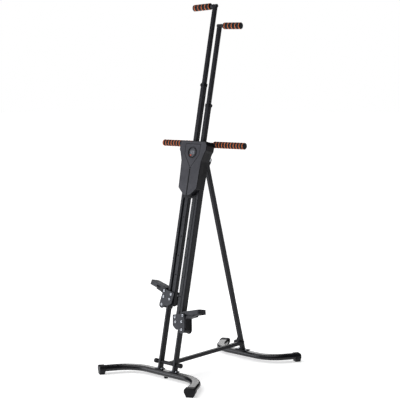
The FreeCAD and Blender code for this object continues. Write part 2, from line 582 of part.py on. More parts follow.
def drive_cable():
    """The steel cable from one arm's lug over the pulley to the other's."""
    left = LUG_S + REST_OFFSET + 7.0
    right = LUG_S - REST_OFFSET + 7.0
    start, turn0 = V(-ARM_X, PULLEY_OFF, left), V(-ARM_X, PULLEY_OFF, PULLEY_S)
    turn1, end = V(ARM_X, PULLEY_OFF, PULLEY_S), V(ARM_X, PULLEY_OFF, right)
    crown = V(0, PULLEY_OFF, PULLEY_S + ARM_X)
    path = Part.Wire([Part.makeLine(start, turn0), Part.Arc(turn0, crown, turn1).toShape(),
                      Part.makeLine(turn1, end)])
    section = Part.Wire(Part.makeCircle(CABLE_RADIUS, start, V(0, 0, 1)))
    return path.makePipeShell([section], True, False)


def arm_guides():
    """Plastic wear pads round the arms, between the posts, near each end of the housing."""
    inner = POST_X - POST_WIDTH / 2 - 0.2
    face = ARM_SIZE / 2 + 0.4
    pads = []
    for s0, s1 in ((1078, 1100), (1373, 1393)):
        pads.append(box(-inner, inner, -face - 4, -face, s0, s1))
        pads.append(box(-inner, inner, face, face + 4, s0, s1))
        for x0, x1 in ((-inner, -ARM_X - face), (-ARM_X + face, ARM_X - face), (ARM_X + face, inner)):
            pads.append(box(x0, x1, -face, face, s0, s1))
    return group(pads)


# ---- Fixed handlebar ----
def handlebar():
    bar = rod((-HANDLEBAR_REACH, HANDLEBAR_OFF, HANDLEBAR_S), (HANDLEBAR_REACH, HANDLEBAR_OFF, HANDLEBAR_S),
              HANDLEBAR_RADIUS)
    tabs = [box(side * POST_X - 7, side * POST_X + 7, POST_BACK, HANDLEBAR_OFF, HANDLEBAR_S - 11, HANDLEBAR_S)
            for side in (-1, 1)]
    return bar.fuse(tabs)


def handlebar_grip(side):
    grip = sleeve_grip(HANDLEBAR_GRIP_START, HANDLEBAR_REACH, HANDLEBAR_S, HANDLEBAR_OFF, HANDLEBAR_RADIUS,
                       HANDLEBAR_GRIP_RADIUS)
    return sided(grip, side)


# ---- Lower axle, link and rear leg ----
def lower_axle():
    return rod((-AXLE_REACH + 6, AXLE_OFF, AXLE_S), (AXLE_REACH - 6, AXLE_OFF, AXLE_S), AXLE_RADIUS)


def axle_bushings():
    """Spacers inside the posts, spacers outside them and the rubber bumpers on the axle's ends."""
    parts = []
    for side in (-1, 1):
        for x0, x1, radius in ((SLEEVE_HALF + 1, 49.8, SLEEVE_RADIUS), (68.2, BUMPER_START, 9.0)):
            ring = rod((side * x0, AXLE_OFF, AXLE_S), (side * x1, AXLE_OFF, AXLE_S), radius)
            bore = rod((side * 20, AXLE_OFF, AXLE_S), (side * 90, AXLE_OFF, AXLE_S), AXLE_RADIUS)
            parts.append(ring.cut(bore))
        start, end = (side * BUMPER_START, AXLE_OFF, AXLE_S), (side * AXLE_REACH, AXLE_OFF, AXLE_S)
        bumper = rod(start, end, BUMPER_RADIUS)
        bumper = bumper.makeFillet(4.0, [e for e in bumper.Edges if len(e.Vertexes) == 1])
        core = rod((side * 80, AXLE_OFF, AXLE_S), (side * (AXLE_REACH - 6), AXLE_OFF, AXLE_S), AXLE_RADIUS)
        parts.append(bumper.cut(core))
    return group(parts)


def leg_point(height):
    """Y of the leg's centre line at a height."""
    return LEG_PIVOT_Y + (LEG_PIVOT_Z - height) * math.tan(math.radians(LEG_ANGLE))


def pin_point():
    """Y and Z of the lock pin, in front of the leg."""
    return leg_point(PIN_HEIGHT) - PIN_AHEAD, PIN_HEIGHT


def place_leg(shape):
    """Tips a shape drawn upright with its pivot at the origin to the leg's angle and place."""
    placed = shape.copy()
    placed.rotate(V(0, 0, 0), V(1, 0, 0), LEG_ANGLE)
    placed.translate(V(0, LEG_PIVOT_Y, LEG_PIVOT_Z))
    return placed


def leg_tube():
    """The single rear leg: its pivot sleeve at the top and, near its foot, the block for the lock pin."""
    length = (LEG_PIVOT_Z - PLATE_TOP_Z) / math.cos(math.radians(LEG_ANGLE)) + 40
    tube = rounded_tube(LEG_WIDTH, LEG_DEPTH, 4.0, 2.0, -length, -8, LEG_X)
    sleeve = rod((EARS[0][1] + 0.4, 0, 0), (EARS[1][0] - 0.4, 0, 0), 14.0)
    bore = rod((-40, 0, 0), (40, 0, 0), AXLE_RADIUS + RUNNING_FIT)
    leg = place_leg(tube.cut(rod((-60, 0, 0), (60, 0, 0), 14.0)))
    y, z = pin_point()
    half = LEG_WIDTH / 2
    front = leg_point(z) - LEG_DEPTH / 2
    outline = [(y - 12, z - 8), (y - 8, z - 12), (front + 4, z - 12), (front - 3, z + 30),
               (front - 8, z + 30), (y - 12, z + 8)]
    block = face_of([(LEG_X - half, a, b) for a, b in outline]).extrude(V(LEG_WIDTH, 0, 0))
    leg = leg.fuse(block).cut(rod((-60, y, z), (20, y, z), LOCK_PIN_RADIUS + RUNNING_FIT))
    leg = leg.cut(box(-100, 100, 500, 900, -100, PLATE_TOP_Z))
    return group([leg, place_leg(sleeve.cut(bore))])


def leg_bracket():
    """The plate between the posts and the two ears that carry the leg's pivot bolt."""
    y, z = LEG_PIVOT_Y, LEG_PIVOT_Z
    t = math.radians(LEAN)
    off = y * math.cos(t) - z * math.sin(t)
    s = y * math.sin(t) + z * math.cos(t)
    inner = POST_X - POST_WIDTH / 2 - 0.2
    plate = box(-inner, inner, 14.6, 19.6, 1225, 1372)
    ears = []
    for x0, x1 in EARS:
        outline = [(19, 1228), (off - 34, s - 90), (off - 2, s - 52), (off + 14, s - 18), (off + 18, s + 4),
                   (off + 6, s + 17), (off - 20, s + 26), (19, s + 44)]
        ear = face_of([(x0, a, b) for a, b in outline]).extrude(V(x1 - x0, 0, 0))
        ears.append(ear.cut(rod((-60, off, s), (60, off, s), AXLE_RADIUS)))
    return lean(plate.fuse(ears))


def leg_pivot_bolt():
    """The pivot's bolt through both ears, with a low round head at each end."""
    (left, _), (_, right) = EARS
    y, z = LEG_PIVOT_Y, LEG_PIVOT_Z
    shank = rod((left, y, z), (right, y, z), AXLE_RADIUS)
    return shank.fuse([rod((left - PIVOT_HEAD, y, z), (left, y, z), 10.0),
                       rod((right, y, z), (right + PIVOT_HEAD, y, z), 10.0)])


def link_frame():
    """Y and Z of the lower axle, and the link's length and slope from there to the lock pin."""
    y0, z0 = leaned_point(AXLE_OFF, AXLE_S)
    y1, z1 = pin_point()
    return y0, z0, math.hypot(y1 - y0, z1 - z0), math.degrees(math.atan2(z1 - z0, y1 - y0))


def place_link(shape):
    """Places a shape drawn along +Y from the lower axle."""
    y0, z0, _, slope = link_frame()
    placed = shape.copy()
    placed.rotate(V(0, 0, 0), V(1, 0, 0), slope)
    placed.translate(V(0, y0, z0))
    return placed


def link_bar():
    """The bar between the lower axle and the leg, beside the leg."""
    length, half, tall = link_frame()[2], LEG_WIDTH / 2, LINK_HEIGHT / 2
    bar = box(LINK_X - half, LINK_X + half, 4, length + 13, -tall, tall)
    along = [e for e in bar.Edges if abs(e.Vertexes[0].Y - e.Vertexes[1].Y) > 1]
    bar = bar.makeFillet(4.0, along)
    core = box(LINK_X - half + 2, LINK_X + half - 2, 3, length + 14, -tall + 2, tall - 2)
    bar = bar.cut(core).cut(rod((-40, 0, 0), (40, 0, 0), SLEEVE_RADIUS))
    return place_link(bar.cut(rod((-5, length, 0), (40, length, 0), 8.0)))


def link_sleeves():
    """The plated sleeve that turns on the lower axle, and the bushing that the lock pin enters."""
    length, half = link_frame()[2], LEG_WIDTH / 2
    sleeve = rod((-SLEEVE_HALF, 0, 0), (SLEEVE_HALF, 0, 0), SLEEVE_RADIUS)
    sleeve = sleeve.cut(rod((-40, 0, 0), (40, 0, 0), AXLE_RADIUS + RUNNING_FIT))
    outer = LINK_X + half
    barrel = rod((LINK_X - half, length, 0), (outer + 2, length, 0), 8.0)
    flange = rod((outer, length, 0), (outer + 3, length, 0), 8.6)
    bushing = barrel.fuse(flange).cut(rod((-5, length, 0), (outer, length, 0), 5.6))
    return group([place_link(sleeve), place_link(bushing)])


def lock_pin():
    """The leg's sprung pull pin, drawn as one piece with its knob."""
    y, z = pin_point()
    outer, inner = LEG_X - LEG_WIDTH / 2, LEG_X + LEG_WIDTH / 2
    shank = rod((outer - 3, y, z), (inner - 0.4, y, z), LOCK_PIN_RADIUS)
    knob = rod((outer - 18, y, z), (outer - 0.5, y, z), LOCK_KNOB_RADIUS)
    return shank.fuse(knob.makeFillet(2.0, [e for e in knob.Edges if len(e.Vertexes) == 1]))


# ---- Assembly ----
def post_foot_plates():
    """The steel plates under the posts."""
    y = FRONT_BASE[0]
    return group([box(side * POST_X - 24, side * POST_X + 24, y - 18, y + 24, BASE_TOP, PLATE_TOP_Z)
                  for side in (-1, 1)])


def frame_bolts():
    """Hexagon bolts on the post plates."""
    y = FRONT_BASE[0] + 2
    return group([hex_head(side * POST_X + dx, y, PLATE_TOP_Z) for side in (-1, 1) for dx in (-17, 17)])


def leg_foot():
    """The plate between leg and rear base."""
    y = leg_point(PLATE_TOP_Z)
    return box(LEG_X - 46, LEG_X + 46, y - 22, y + 22, BASE_TOP, PLATE_TOP_Z)


def leg_bolts():
    """The two hexagon bolts beside the leg."""
    y = leg_point(PLATE_TOP_Z)
    return group([hex_head(LEG_X + dx, y, PLATE_TOP_Z) for dx in (-32, 32)])


def middle_foot():
    """A levelling foot under the middle of the front base."""
    x, y = MIDDLE_FOOT_X, FRONT_BASE[0] + 8
    pad = rod((x, y, 0), (x, y, 8), MIDDLE_FOOT_RADIUS)
    return pad.fuse(rod((x, y, 8), (x, y, BASE_Z - BASE_HEIGHT / 2), 6.0))


nodes = {
    "front_base_tube": base_tube(FRONT_BASE),
    "front_cap_right": base_cap(FRONT_BASE),
    "front_cap_left": mirror(base_cap(FRONT_BASE)),
    "middle_foot": middle_foot(),
    "rear_base_tube": base_tube(REAR_BASE),
    "rear_cap_right": base_cap(REAR_BASE),
    "rear_cap_left": mirror(base_cap(REAR_BASE)),
    "post_foot_plates": post_foot_plates(),
    "frame_bolts": frame_bolts(),
    "lower_axle": lean(lower_axle()),
    "axle_bushings": lean(axle_bushings()),
    "head_bracket": lean(head_bracket()),
    "arm_guides": lean(arm_guides()),
    "front_cover": lean(front_cover()),
    "rear_cover": lean(rear_cover()),
    "cover_screws": lean(cover_screws()),
    "display_bezel": lean(display_bezel()),
    "display_face": lean(display_face()),
    "display_button": lean(display_button()),
    "handlebar": lean(handlebar()),
    "leg_bracket": leg_bracket(),
    "leg_pivot_bolt": leg_pivot_bolt(),
    "pulley": lean(pulley()),
    "drive_cable": lean(drive_cable()),
    "leg_tube": leg_tube(),
    "leg_foot": leg_foot(),
    "leg_bolts": leg_bolts(),
    "lock_pin": lock_pin(),
    "link_bar": link_bar(),
    "link_sleeves": link_sleeves(),
}
for side, name in ((-1, "left"), (1, "right")):
    nodes["lower_post_" + name] = lower_post(side)
    nodes["upper_post_" + name] = lean(upper_post(side))
    nodes["handlebar_grip_" + name] = lean(handlebar_grip(side))
    nodes["arm_tube_" + name] = lean(arm_tube(side))
    nodes["arm_collar_" + name] = lean(arm_collar(side))
    nodes["height_pin_" + name] = lean(height_pin(side))
    nodes["carriage_front_plate_" + name] = lean(carriage_plate(side, True))
    nodes["carriage_rear_plate_" + name] = lean(carriage_plate(side, False))
    nodes["carriage_block_" + name] = lean(carriage_block(side))
    nodes["carriage_bolts_" + name] = lean(carriage_bolts(side))
    nodes["pedal_arm_" + name] = lean(pedal_arm(side))
    nodes["pedal_tread_" + name] = lean(pedal_tread(side))
    nodes["cable_lug_" + name] = lean(cable_lug(side))
    nodes["handle_bar_" + name] = lean(handle_bar(side))
    nodes["handle_grip_" + name] = lean(handle_grip(side))

# The origin is on the floor, midway between the front feet's and the rear feet's ends.
front_reach = nodes["front_cap_right"].BoundBox.YMin
rear_reach = nodes["rear_cap_right"].BoundBox.YMax
centre_shift = V(0, -(front_reach + rear_reach) / 2, 0)

os.makedirs("parts", exist_ok=True)
for name, shape in nodes.items():
    placed = shape.copy()
    placed.translate(centre_shift)
    placed.exportStep("parts/" + name + ".step")
print(len(nodes), "nodes; shift along Y", round(centre_shift.y, 3))
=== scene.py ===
import math
import random

import bmesh
import bpy
from mathutils import Matrix, Vector


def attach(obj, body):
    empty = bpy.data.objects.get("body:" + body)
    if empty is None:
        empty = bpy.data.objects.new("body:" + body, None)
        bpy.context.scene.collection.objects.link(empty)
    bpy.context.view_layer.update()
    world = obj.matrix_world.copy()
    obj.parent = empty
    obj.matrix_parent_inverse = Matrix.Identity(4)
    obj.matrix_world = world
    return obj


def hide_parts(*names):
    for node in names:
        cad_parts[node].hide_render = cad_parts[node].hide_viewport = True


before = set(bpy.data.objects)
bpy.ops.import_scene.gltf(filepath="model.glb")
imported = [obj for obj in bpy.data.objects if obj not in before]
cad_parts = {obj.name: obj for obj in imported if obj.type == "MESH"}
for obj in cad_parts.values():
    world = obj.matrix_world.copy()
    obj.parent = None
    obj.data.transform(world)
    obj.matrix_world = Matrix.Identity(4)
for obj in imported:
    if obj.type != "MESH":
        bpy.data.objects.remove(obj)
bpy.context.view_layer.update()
scene = bpy.context.scene


# ---- Places on the machine, from the frame's own dimensions, in metres ----
# x is across the machine, "off" behind the posts' middle plane, and "s" the distance along the posts.
LEAN = math.radians(11.75)     # the posts lean this far back
SHIFT_Y = -0.339031            # brings the model's middle onto the origin
TIP_BACK = Matrix.Rotation(-LEAN, 4, "X")
SIDES = (("left", -1), ("right", 1))

REST_OFFSET = 0.0625           # each arm's distance from mid stroke, at rest
ARM_X = 0.0295
ARM_TOP = 1.707
ARM_HALF = 0.014
COLLAR_HALF = 0.0155
HEIGHT_PIN_DROP = 0.007
HOLE_TOP_S = 0.8986
HOLE_PITCH = 0.1151
HOLE_COUNT = 5

HANDLE_HALF = 0.0115
HANDLE_BAR_S = 2.1846
HANDLE_BAR_RADIUS = 0.011
HANDLEBAR_S = 1.409
HANDLEBAR_OFF = 0.035
HANDLEBAR_RADIUS = 0.0125

CARRIAGE_S = 0.438
CARRIAGE_TILT = math.radians(11.5)
PEDAL_TILT = math.radians(14.0)
CARRIAGE_FRAME = (Matrix.Translation((ARM_X - 0.001, 0, CARRIAGE_S - 0.005))
                  @ Matrix.Rotation(-CARRIAGE_TILT, 4, "Y"))
PEDAL_FRAME = (Matrix.Translation((0.097, 0, CARRIAGE_S + 0.0365))
               @ Matrix.Rotation(-PEDAL_TILT, 4, "Y"))
BOLT_SPOTS = ((0.0, 0.0), (0.0024, -0.0297), (0.061, 0.004), (0.053, -0.031), (0.05, -0.078))
BOLT_FACE = -0.034

PLATE_TOP_Z = 0.0535
POST_X = 0.059
LEG_X = -0.013
LEG_Y = 0.70495
LOCK_PIN_Y = 0.66293
LOCK_PIN_Z = 0.106

COVER_FRONT = -0.052
COVER_BACK = 0.0249
COVER_SCREWS = ((0.060, 1.160), (0.066, 1.270), (0.084, 1.375))
SHIELD = ((0, 1.397), (0.060, 1.397), (0.059, 1.336), (0.005, 1.262))
DISPLAY_S = 1.346
DIAL_FRONT = -0.0505
BUTTON_S = 1.255


# ---- Materials ----
class Shader:
    """A material with one Principled shader and short calls to wire nodes into it."""

    def __init__(self, name, colour, roughness, metallic=0.0):
        self.mat = bpy.data.materials.new(name)
        self.mat.use_nodes = True
        self.tree = self.mat.node_tree
        self.main = self.tree.nodes["Principled BSDF"]
        self.main.inputs["Base Color"].default_value = (*colour, 1.0)
        self.main.inputs["Roughness"].default_value = roughness
        self.main.inputs["Metallic"].default_value = metallic
        self.main.inputs["Specular IOR Level"].default_value = 0.2
        self.coords = self.tree.nodes.new("ShaderNodeTexCoord")
        self.bump_node = None

    def node(self, kind, **values):
        """A new node, with values for its inputs or its own settings."""
        made = self.tree.nodes.new("ShaderNode" + kind)
        for key, value in values.items():
            if key in made.inputs:
                made.inputs[key].default_value = value
            else:
                setattr(made, key, value)
        return made

    def link(self, a, b):
        self.tree.links.new(a, b)

    def noise(self, scale, detail=3.0):
        """Object-space noise of about 1/scale metres."""
        made = self.node("TexNoise", Scale=scale, Detail=detail)
        self.link(self.coords.outputs["Object"], made.inputs["Vector"])
        return made.outputs["Fac"]

    def ramp(self, value, low, high, a, b):
        """Maps a value from low..high onto the colours or greys a..b."""
        made = self.node("ValToRGB")
        for stop, place, colour in zip(made.color_ramp.elements, (low, high), (a, b)):
            stop.position = place
            stop.color = (*colour, 1.0) if len(colour) == 3 else colour
        self.link(value, made.inputs["Fac"])
        return made.outputs["Color"]

    def colour(self, value, a, b, low=0.35, high=0.65):
        self.link(self.ramp(value, low, high, a, b), self.main.inputs["Base Color"])

    def roughness(self, value, a, b, low=0.3, high=0.7):
        self.link(self.ramp(value, low, high, (a,) * 3, (b,) * 3), self.main.inputs["Roughness"])

    def bump(self, value, distance, strength=1.0):
        """Adds a height of about `distance` metres to the surface; calls add up."""
        made = self.node("Bump", Strength=strength, Distance=distance)
        self.link(value, made.inputs["Height"])
        if self.bump_node:
            self.link(self.bump_node.outputs["Normal"], made.inputs["Normal"])
        self.bump_node = made
        self.link(made.outputs["Normal"], self.main.inputs["Normal"])

    def coat(self, weight, roughness):
        self.main.inputs["Coat Weight"].default_value = weight
        self.main.inputs["Coat Roughness"].default_value = roughness


def powder_coat(name, dark, light, roughness, coat=0.0):
    """Powder-coated steel: a fine orange-peel surface with slight patches in its shine."""
    m = Shader(name, light, roughness)
    m.colour(m.noise(9.0), dark, light)
    m.roughness(m.noise(60.0, 4.0), roughness - 0.05, roughness + 0.07)
    m.bump(m.noise(900.0, 2.0), 0.00006, 0.6)
    if coat:
        m.coat(coat, 0.12)
    return m.mat


def moulding(name, dark, light, roughness, grain=1400.0, side_shade=None):
    """Moulded plastic: a fine pebble grain with faint colour drift. When a side colour is given, only what
    faces the way the housing's front does has the two colours. Everything else is painted in that much
    darker colour, a painted shade for the sides the light does not reach."""
    m = Shader(name, light, roughness)
    if side_shade:
        colour_a, colour_b, factor = 6, 7, 0    # the colour sockets of a Mix node
        drift = m.ramp(m.noise(14.0), 0.35, 0.65, dark, light)
        # Painted shade: faces turned away from the housing's front get the dark side colour in place of the
        # cover's own.
        facing = m.node("VectorMath", operation="DOT_PRODUCT")
        facing.inputs[1].default_value = (0.0, -math.cos(LEAN), math.sin(LEAN))
        m.link(m.coords.outputs["Normal"], facing.inputs[0])
        front = m.ramp(facing.outputs["Value"], 0.7, 0.9, (0, 0, 0), (1, 1, 1))
        mix = m.node("Mix", data_type="RGBA")
        mix.inputs[colour_a].default_value = (*side_shade, 1.0)
        m.link(front, mix.inputs[factor])
        m.link(drift, mix.inputs[colour_b])
        m.link(mix.outputs[2], m.main.inputs["Base Color"])
    else:
        m.colour(m.noise(14.0), dark, light)
    m.roughness(m.noise(40.0), roughness - 0.06, roughness + 0.06)
    m.bump(m.noise(grain, 2.0), 0.00008, 0.7)
    return m.mat


def rubber(name, dark, light):
    """Matt rubber with a rough, slightly blotchy surface."""
    m = Shader(name, light, 0.8)
    m.colour(m.noise(30.0), dark, light)
    m.bump(m.noise(700.0, 4.0), 0.00012, 0.8)
    return m.mat


def plated_steel(name, tone, roughness):
    """Zinc-plated steel: a cloudy metal with uneven shine."""
    m = Shader(name, tone, roughness, 1.0)
    darker = tuple(c * 0.72 for c in tone)
    m.colour(m.noise(120.0, 4.0), darker, tone)
    m.roughness(m.noise(240.0, 3.0), roughness - 0.08, roughness + 0.1)
    m.bump(m.noise(1500.0, 2.0), 0.00003, 0.5)
    return m.mat


def foam(name, dark, light):
    """Closed-cell foam: small open pores over a soft matt surface."""
    m = Shader(name, light, 0.75)
    m.colour(m.noise(320.0, 4.0), dark, light)
    cells = m.node("TexVoronoi", Scale=900.0)
    m.link(m.coords.outputs["Object"], cells.inputs["Vector"])
    m.bump(cells.outputs["Distance"], 0.0003, 0.7)
    m.main.inputs["Sheen Weight"].default_value = 0.05
    return m.mat


LOOK = {
    "black": powder_coat("black_powder_coat", (0.009, 0.009, 0.012), (0.013, 0.013, 0.017), 0.42),
    "gloss_black": powder_coat("gloss_black_powder_coat", (0.006, 0.006, 0.008), (0.009, 0.009, 0.012), 0.26,
                               0.25),
    "plate": powder_coat("graphite_powder_coat", (0.022, 0.023, 0.028), (0.03, 0.031, 0.037), 0.45),
    # The cover's front has its own graphite colour; its sides are painted near black, a painted shade.
    "cover": moulding("graphite_moulding_painted_side_shade", (0.034, 0.034, 0.041), (0.044, 0.044, 0.052), 0.45,
                      side_shade=(0.006, 0.006, 0.008)),
    "tread": moulding("tread_moulding", (0.022, 0.023, 0.027), (0.036, 0.037, 0.043), 0.5, 900.0),
    # The ribs are the tread's own plastic painted lighter, a painted highlight on their tops.
    "tread_rib": moulding("tread_ribs_painted_highlight", (0.085, 0.087, 0.1), (0.12, 0.122, 0.14), 0.5, 900.0),
    "plastic": moulding("black_moulding", (0.004, 0.004, 0.0055), (0.008, 0.008, 0.0105), 0.5),
    "rubber": rubber("black_rubber", (0.006, 0.006, 0.007), (0.012, 0.012, 0.014)),
    "steel": plated_steel("zinc_plated_steel", (0.6, 0.62, 0.66), 0.34),
    "foam": foam("black_foam", (0.004, 0.006, 0.009), (0.009, 0.012, 0.017)),
    "foam_ring": foam("orange_foam", (0.62, 0.14, 0.035), (0.8, 0.2, 0.055)),
    # Dark print for the dial's marks, and also painted shade: the same near black stands for the shadow in
    # the housing's grooves, the screws' cross recesses and the bolts' sockets.
    "seam": moulding("dark_print_and_painted_recess_shade", (0.0015, 0.0015, 0.002), (0.003, 0.003, 0.0035), 0.75),
    "dial": moulding("dial_face", (0.05, 0.052, 0.06), (0.07, 0.072, 0.082), 0.3),
    "dial_window": moulding("dial_window", (0.2, 0.205, 0.23), (0.25, 0.255, 0.285), 0.3),
    "hole": moulding("hole_shadow", (0.001, 0.001, 0.0015), (0.002, 0.002, 0.0025), 0.9),
    "red_mark": moulding("red_orange_mark", (0.55, 0.06, 0.02), (0.68, 0.09, 0.03), 0.4),
    "weld": powder_coat("painted_weld", (0.006, 0.006, 0.008), (0.012, 0.012, 0.015), 0.3),
}
NODE_LOOK = {
    "gloss_black": ("front_base_tube", "rear_base_tube"),
    "plate": ("carriage_front_plate", "carriage_rear_plate"),
    "cover": ("front_cover",),
    "tread": ("pedal_tread",),
    "plastic": ("front_cap", "rear_cap", "axle_bushings", "arm_guides", "rear_cover", "display_button",
                "display_bezel", "lock_pin", "arm_collar", "height_pin", "carriage_block"),
    "dial": ("display_face",),
    "rubber": ("middle_foot",),
    "steel": ("carriage_bolts", "frame_bolts", "lower_axle", "cover_screws", "leg_pivot_bolt", "drive_cable",
              "leg_bolts", "cable_lug"),
    "foam": ("handlebar_grip", "handle_grip"),
}


def dress_nodes():
    """Gives every CAD node its material; what isn't named is black powder-coated steel."""
    by_stem = {stem: look for look, stems in NODE_LOOK.items() for stem in stems}
    for name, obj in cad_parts.items():
        stem = name.removesuffix("_left").removesuffix("_right")
        look = by_stem.get(name, by_stem.get(stem, "black"))
        for index in range(max(len(obj.material_slots), 1)):
            if index < len(obj.material_slots):
                obj.material_slots[index].material = LOOK[look]
            else:
                obj.data.materials.append(LOOK[look])


dress_nodes()


# ---- Placing ----
def place_leaned(piece):
    """Moves a piece drawn upright (x across, y behind the posts' plane, z along the posts) to its place."""
    piece.data.transform(Matrix.Translation((0, SHIFT_Y, 0)) @ TIP_BACK)
    return piece


def other_side(piece, turned=False):
    """The left side's copy of a right side's piece: mirrored, or turned half round."""
    if turned:
        piece.data.transform(Matrix.Rotation(math.pi, 4, "Z"))
    else:
        piece.data.transform(Matrix.Diagonal((-1, 1, 1, 1)))
        piece.data.flip_normals()


def on_arm(piece, side, turned=False):
    """Places a piece drawn on the right arm at mid stroke on its own arm, at rest."""
    if side < 0:
        other_side(piece, turned)
    piece.data.transform(Matrix.Translation((0, 0, -side * REST_OFFSET)))
    return place_leaned(piece)


# ---- Mesh helpers ----
def new_piece(name, bm, look, smooth=True):
    """A mesh object from a bmesh, with one material."""
    bmesh.ops.recalc_face_normals(bm, faces=bm.faces)
    mesh = bpy.data.meshes.new(name)
    bm.to_mesh(mesh)
    bm.free()
    piece = bpy.data.objects.new(name, mesh)
    scene.collection.objects.link(piece)
    for key in (look if isinstance(look, tuple) else (look,)):
        mesh.materials.append(LOOK[key])
    for face in mesh.polygons:
        face.use_smooth = smooth
    return piece


def finish_piece(piece, body):
    """Attaches a piece to the body it moves with."""
    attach(piece, body)


def lathe(bm, stations, steps, axis="X", centre=(0, 0, 0), looks=None, hexes=()):
    """Turns (along, radius) stations about an axis. `looks` holds each band's material index and `hexes`
    the stations that are hexagons instead of circles."""
    turn = {"X": Matrix.Identity(4), "Y": Matrix.Rotation(math.pi / 2, 4, "Z"),
            "Z": Matrix.Rotation(-math.pi / 2, 4, "Y")}[axis]
    place = Matrix.Translation(centre) @ turn
    rings = []
    for index, (along, radius) in enumerate(stations):
        if radius < 1e-6:
            rings.append([bm.verts.new(place @ Vector((along, 0, 0)))])
            continue
        ring = []
        for k in range(steps):
            a = 2 * math.pi * k / steps
            flat = 1.0
            if index in hexes:
                flat = math.cos(math.pi / 6) / math.cos(a % (math.pi / 3) - math.pi / 6)
            y, z = radius * flat * math.cos(a), radius * flat * math.sin(a)
            ring.append(bm.verts.new(place @ Vector((along, y, z))))
        rings.append(ring)
    for index, (r0, r1) in enumerate(zip(rings[:-1], rings[1:])):
        for k in range(steps):
            corners = [r0[k % len(r0)], r0[(k + 1) % len(r0)], r1[(k + 1) % len(r1)], r1[k % len(r1)]]
            corners = list(dict.fromkeys(corners))
            if len(corners) < 3:
                continue
            face = bm.faces.new(corners)
            face.material_index = looks[index] if looks else 0


def strip(bm, p0, p1, half, y0, y1):
    """A bar between two points of the X-Z plane, `half` wide to each side, from y0 to y1."""
    a, b = Vector((p0[0], 0, p0[1])), Vector((p1[0], 0, p1[1]))
    across = (b - a).normalized().cross(Vector((0, 1, 0))) * half
    v = [bm.verts.new(c + Vector((0, y, 0))) for c in (a - across, a + across, b + across, b - across)
         for y in (y0, y1)]
    for f in ((0, 2, 4, 6), (1, 7, 5, 3), (0, 1, 3, 2), (2, 3, 5, 4), (4, 5, 7, 6), (6, 7, 1, 0)):
        bm.faces.new([v[i] for i in f])


def bead(bm, path, radius, closed, rng, steps=8):
    """A weld bead: an uneven round bar along a path of points."""
    count = len(path)
    rings = []
    for k, point in enumerate(path):
        ahead = path[(k + 1) % count] if closed or k + 1 < count else point
        behind = path[k - 1] if closed or k > 0 else point
        along = (ahead - behind).normalized()
        side = along.orthogonal().normalized()
        other = along.cross(side)
        r = radius * rng.uniform(0.82, 1.12)
        rings.append([bm.verts.new(point + (side * math.cos(a) + other * math.sin(a)) * r)
                      for a in (2 * math.pi * j / steps for j in range(steps))])
    pairs = list(zip(rings[:-1], rings[1:])) + ([(rings[-1], rings[0])] if closed else [])
    for r0, r1 in pairs:
        offset = min(range(steps), key=lambda j: (r1[j].co - r0[0].co).length)
        for k in range(steps):
            after = k + 1
            bm.faces.new((r0[k], r0[after % steps],
                          r1[(after + offset) % steps], r1[(k + offset) % steps]))
    if not closed:
        bm.faces.new(rings[0])
        bm.faces.new(list(reversed(rings[-1])))


def rectangle_path(cx, cy, z, hx, hy, spacing=0.0025):
    """Points round an upright tube's foot."""
    corners = [Vector((cx - hx, cy - hy, z)), Vector((cx + hx, cy - hy, z)),
               Vector((cx + hx, cy + hy, z)), Vector((cx - hx, cy + hy, z))]
    path = []
    for a, b in zip(corners, corners[1:] + corners[:1]):
        count = max(int((b - a).length / spacing), 2)
        path += [a.lerp(b, k / count) for k in range(count)]
    return path


# ---- Foam grips ----
RING_RISE = 0.0007             # how far a coloured ring stands proud of the black foam
RING_HALF = 0.0022
RING_SHOULDER = 0.0006
MOUTH_DEPTH, MOUTH_LENGTH = 0.0045, 0.003
END_DEPTH, END_LENGTH = 0.002, 0.001


def ringed_grip(name, start, end, tube, radius, rings, body, node, place):
    """A foam sleeve along X: black foam with proud, narrow coloured rings and a closed black end."""
    base = radius - RING_RISE
    stations = [(start, tube), (start, base - MOUTH_DEPTH), (start + MOUTH_LENGTH, base)]
    looks = [0, 0]
    for centre in rings:
        stations += [(centre - RING_HALF, base), (centre - RING_HALF + RING_SHOULDER, radius),
                     (centre + RING_HALF - RING_SHOULDER, radius), (centre + RING_HALF, base)]
        looks += [0, 1, 1, 1]
    stations += [(end - END_LENGTH, base), (end, base - END_DEPTH), (end, 0.0)]
    looks += [0, 0, 0]
    bm = bmesh.new()
    lathe(bm, stations, 56, looks=looks)
    piece = new_piece(name, bm, ("foam", "foam_ring"))
    place(piece)
    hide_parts(node)
    finish_piece(piece, body)


def add_handle_grips():
    """Top grips of five rings; the left one is the same part, turned, so its end ring is by the arm."""
    start, end, radius, droop = 0.066, 0.199, 0.0204, math.radians(2.0)
    first_ring, pitch, count = 0.0815, 0.0285, 5
    rings = [first_ring + pitch * k for k in range(count)]
    about = Vector((ARM_X, 0, HANDLE_BAR_S))
    hang = Matrix.Translation(about) @ Matrix.Rotation(droop, 4, "Y") @ Matrix.Translation(-about)
    for name, side in SIDES:
        def place(piece, side=side):
            piece.data.transform(hang @ Matrix.Translation((0, 0, HANDLE_BAR_S)))
            on_arm(piece, side)
        marks = rings if side > 0 else [start + end - r for r in reversed(rings)]
        ringed_grip("foam_handle_grip_" + name, start, end, HANDLE_BAR_RADIUS, radius, marks,
                    name + "_handle", "handle_grip_" + name, place)


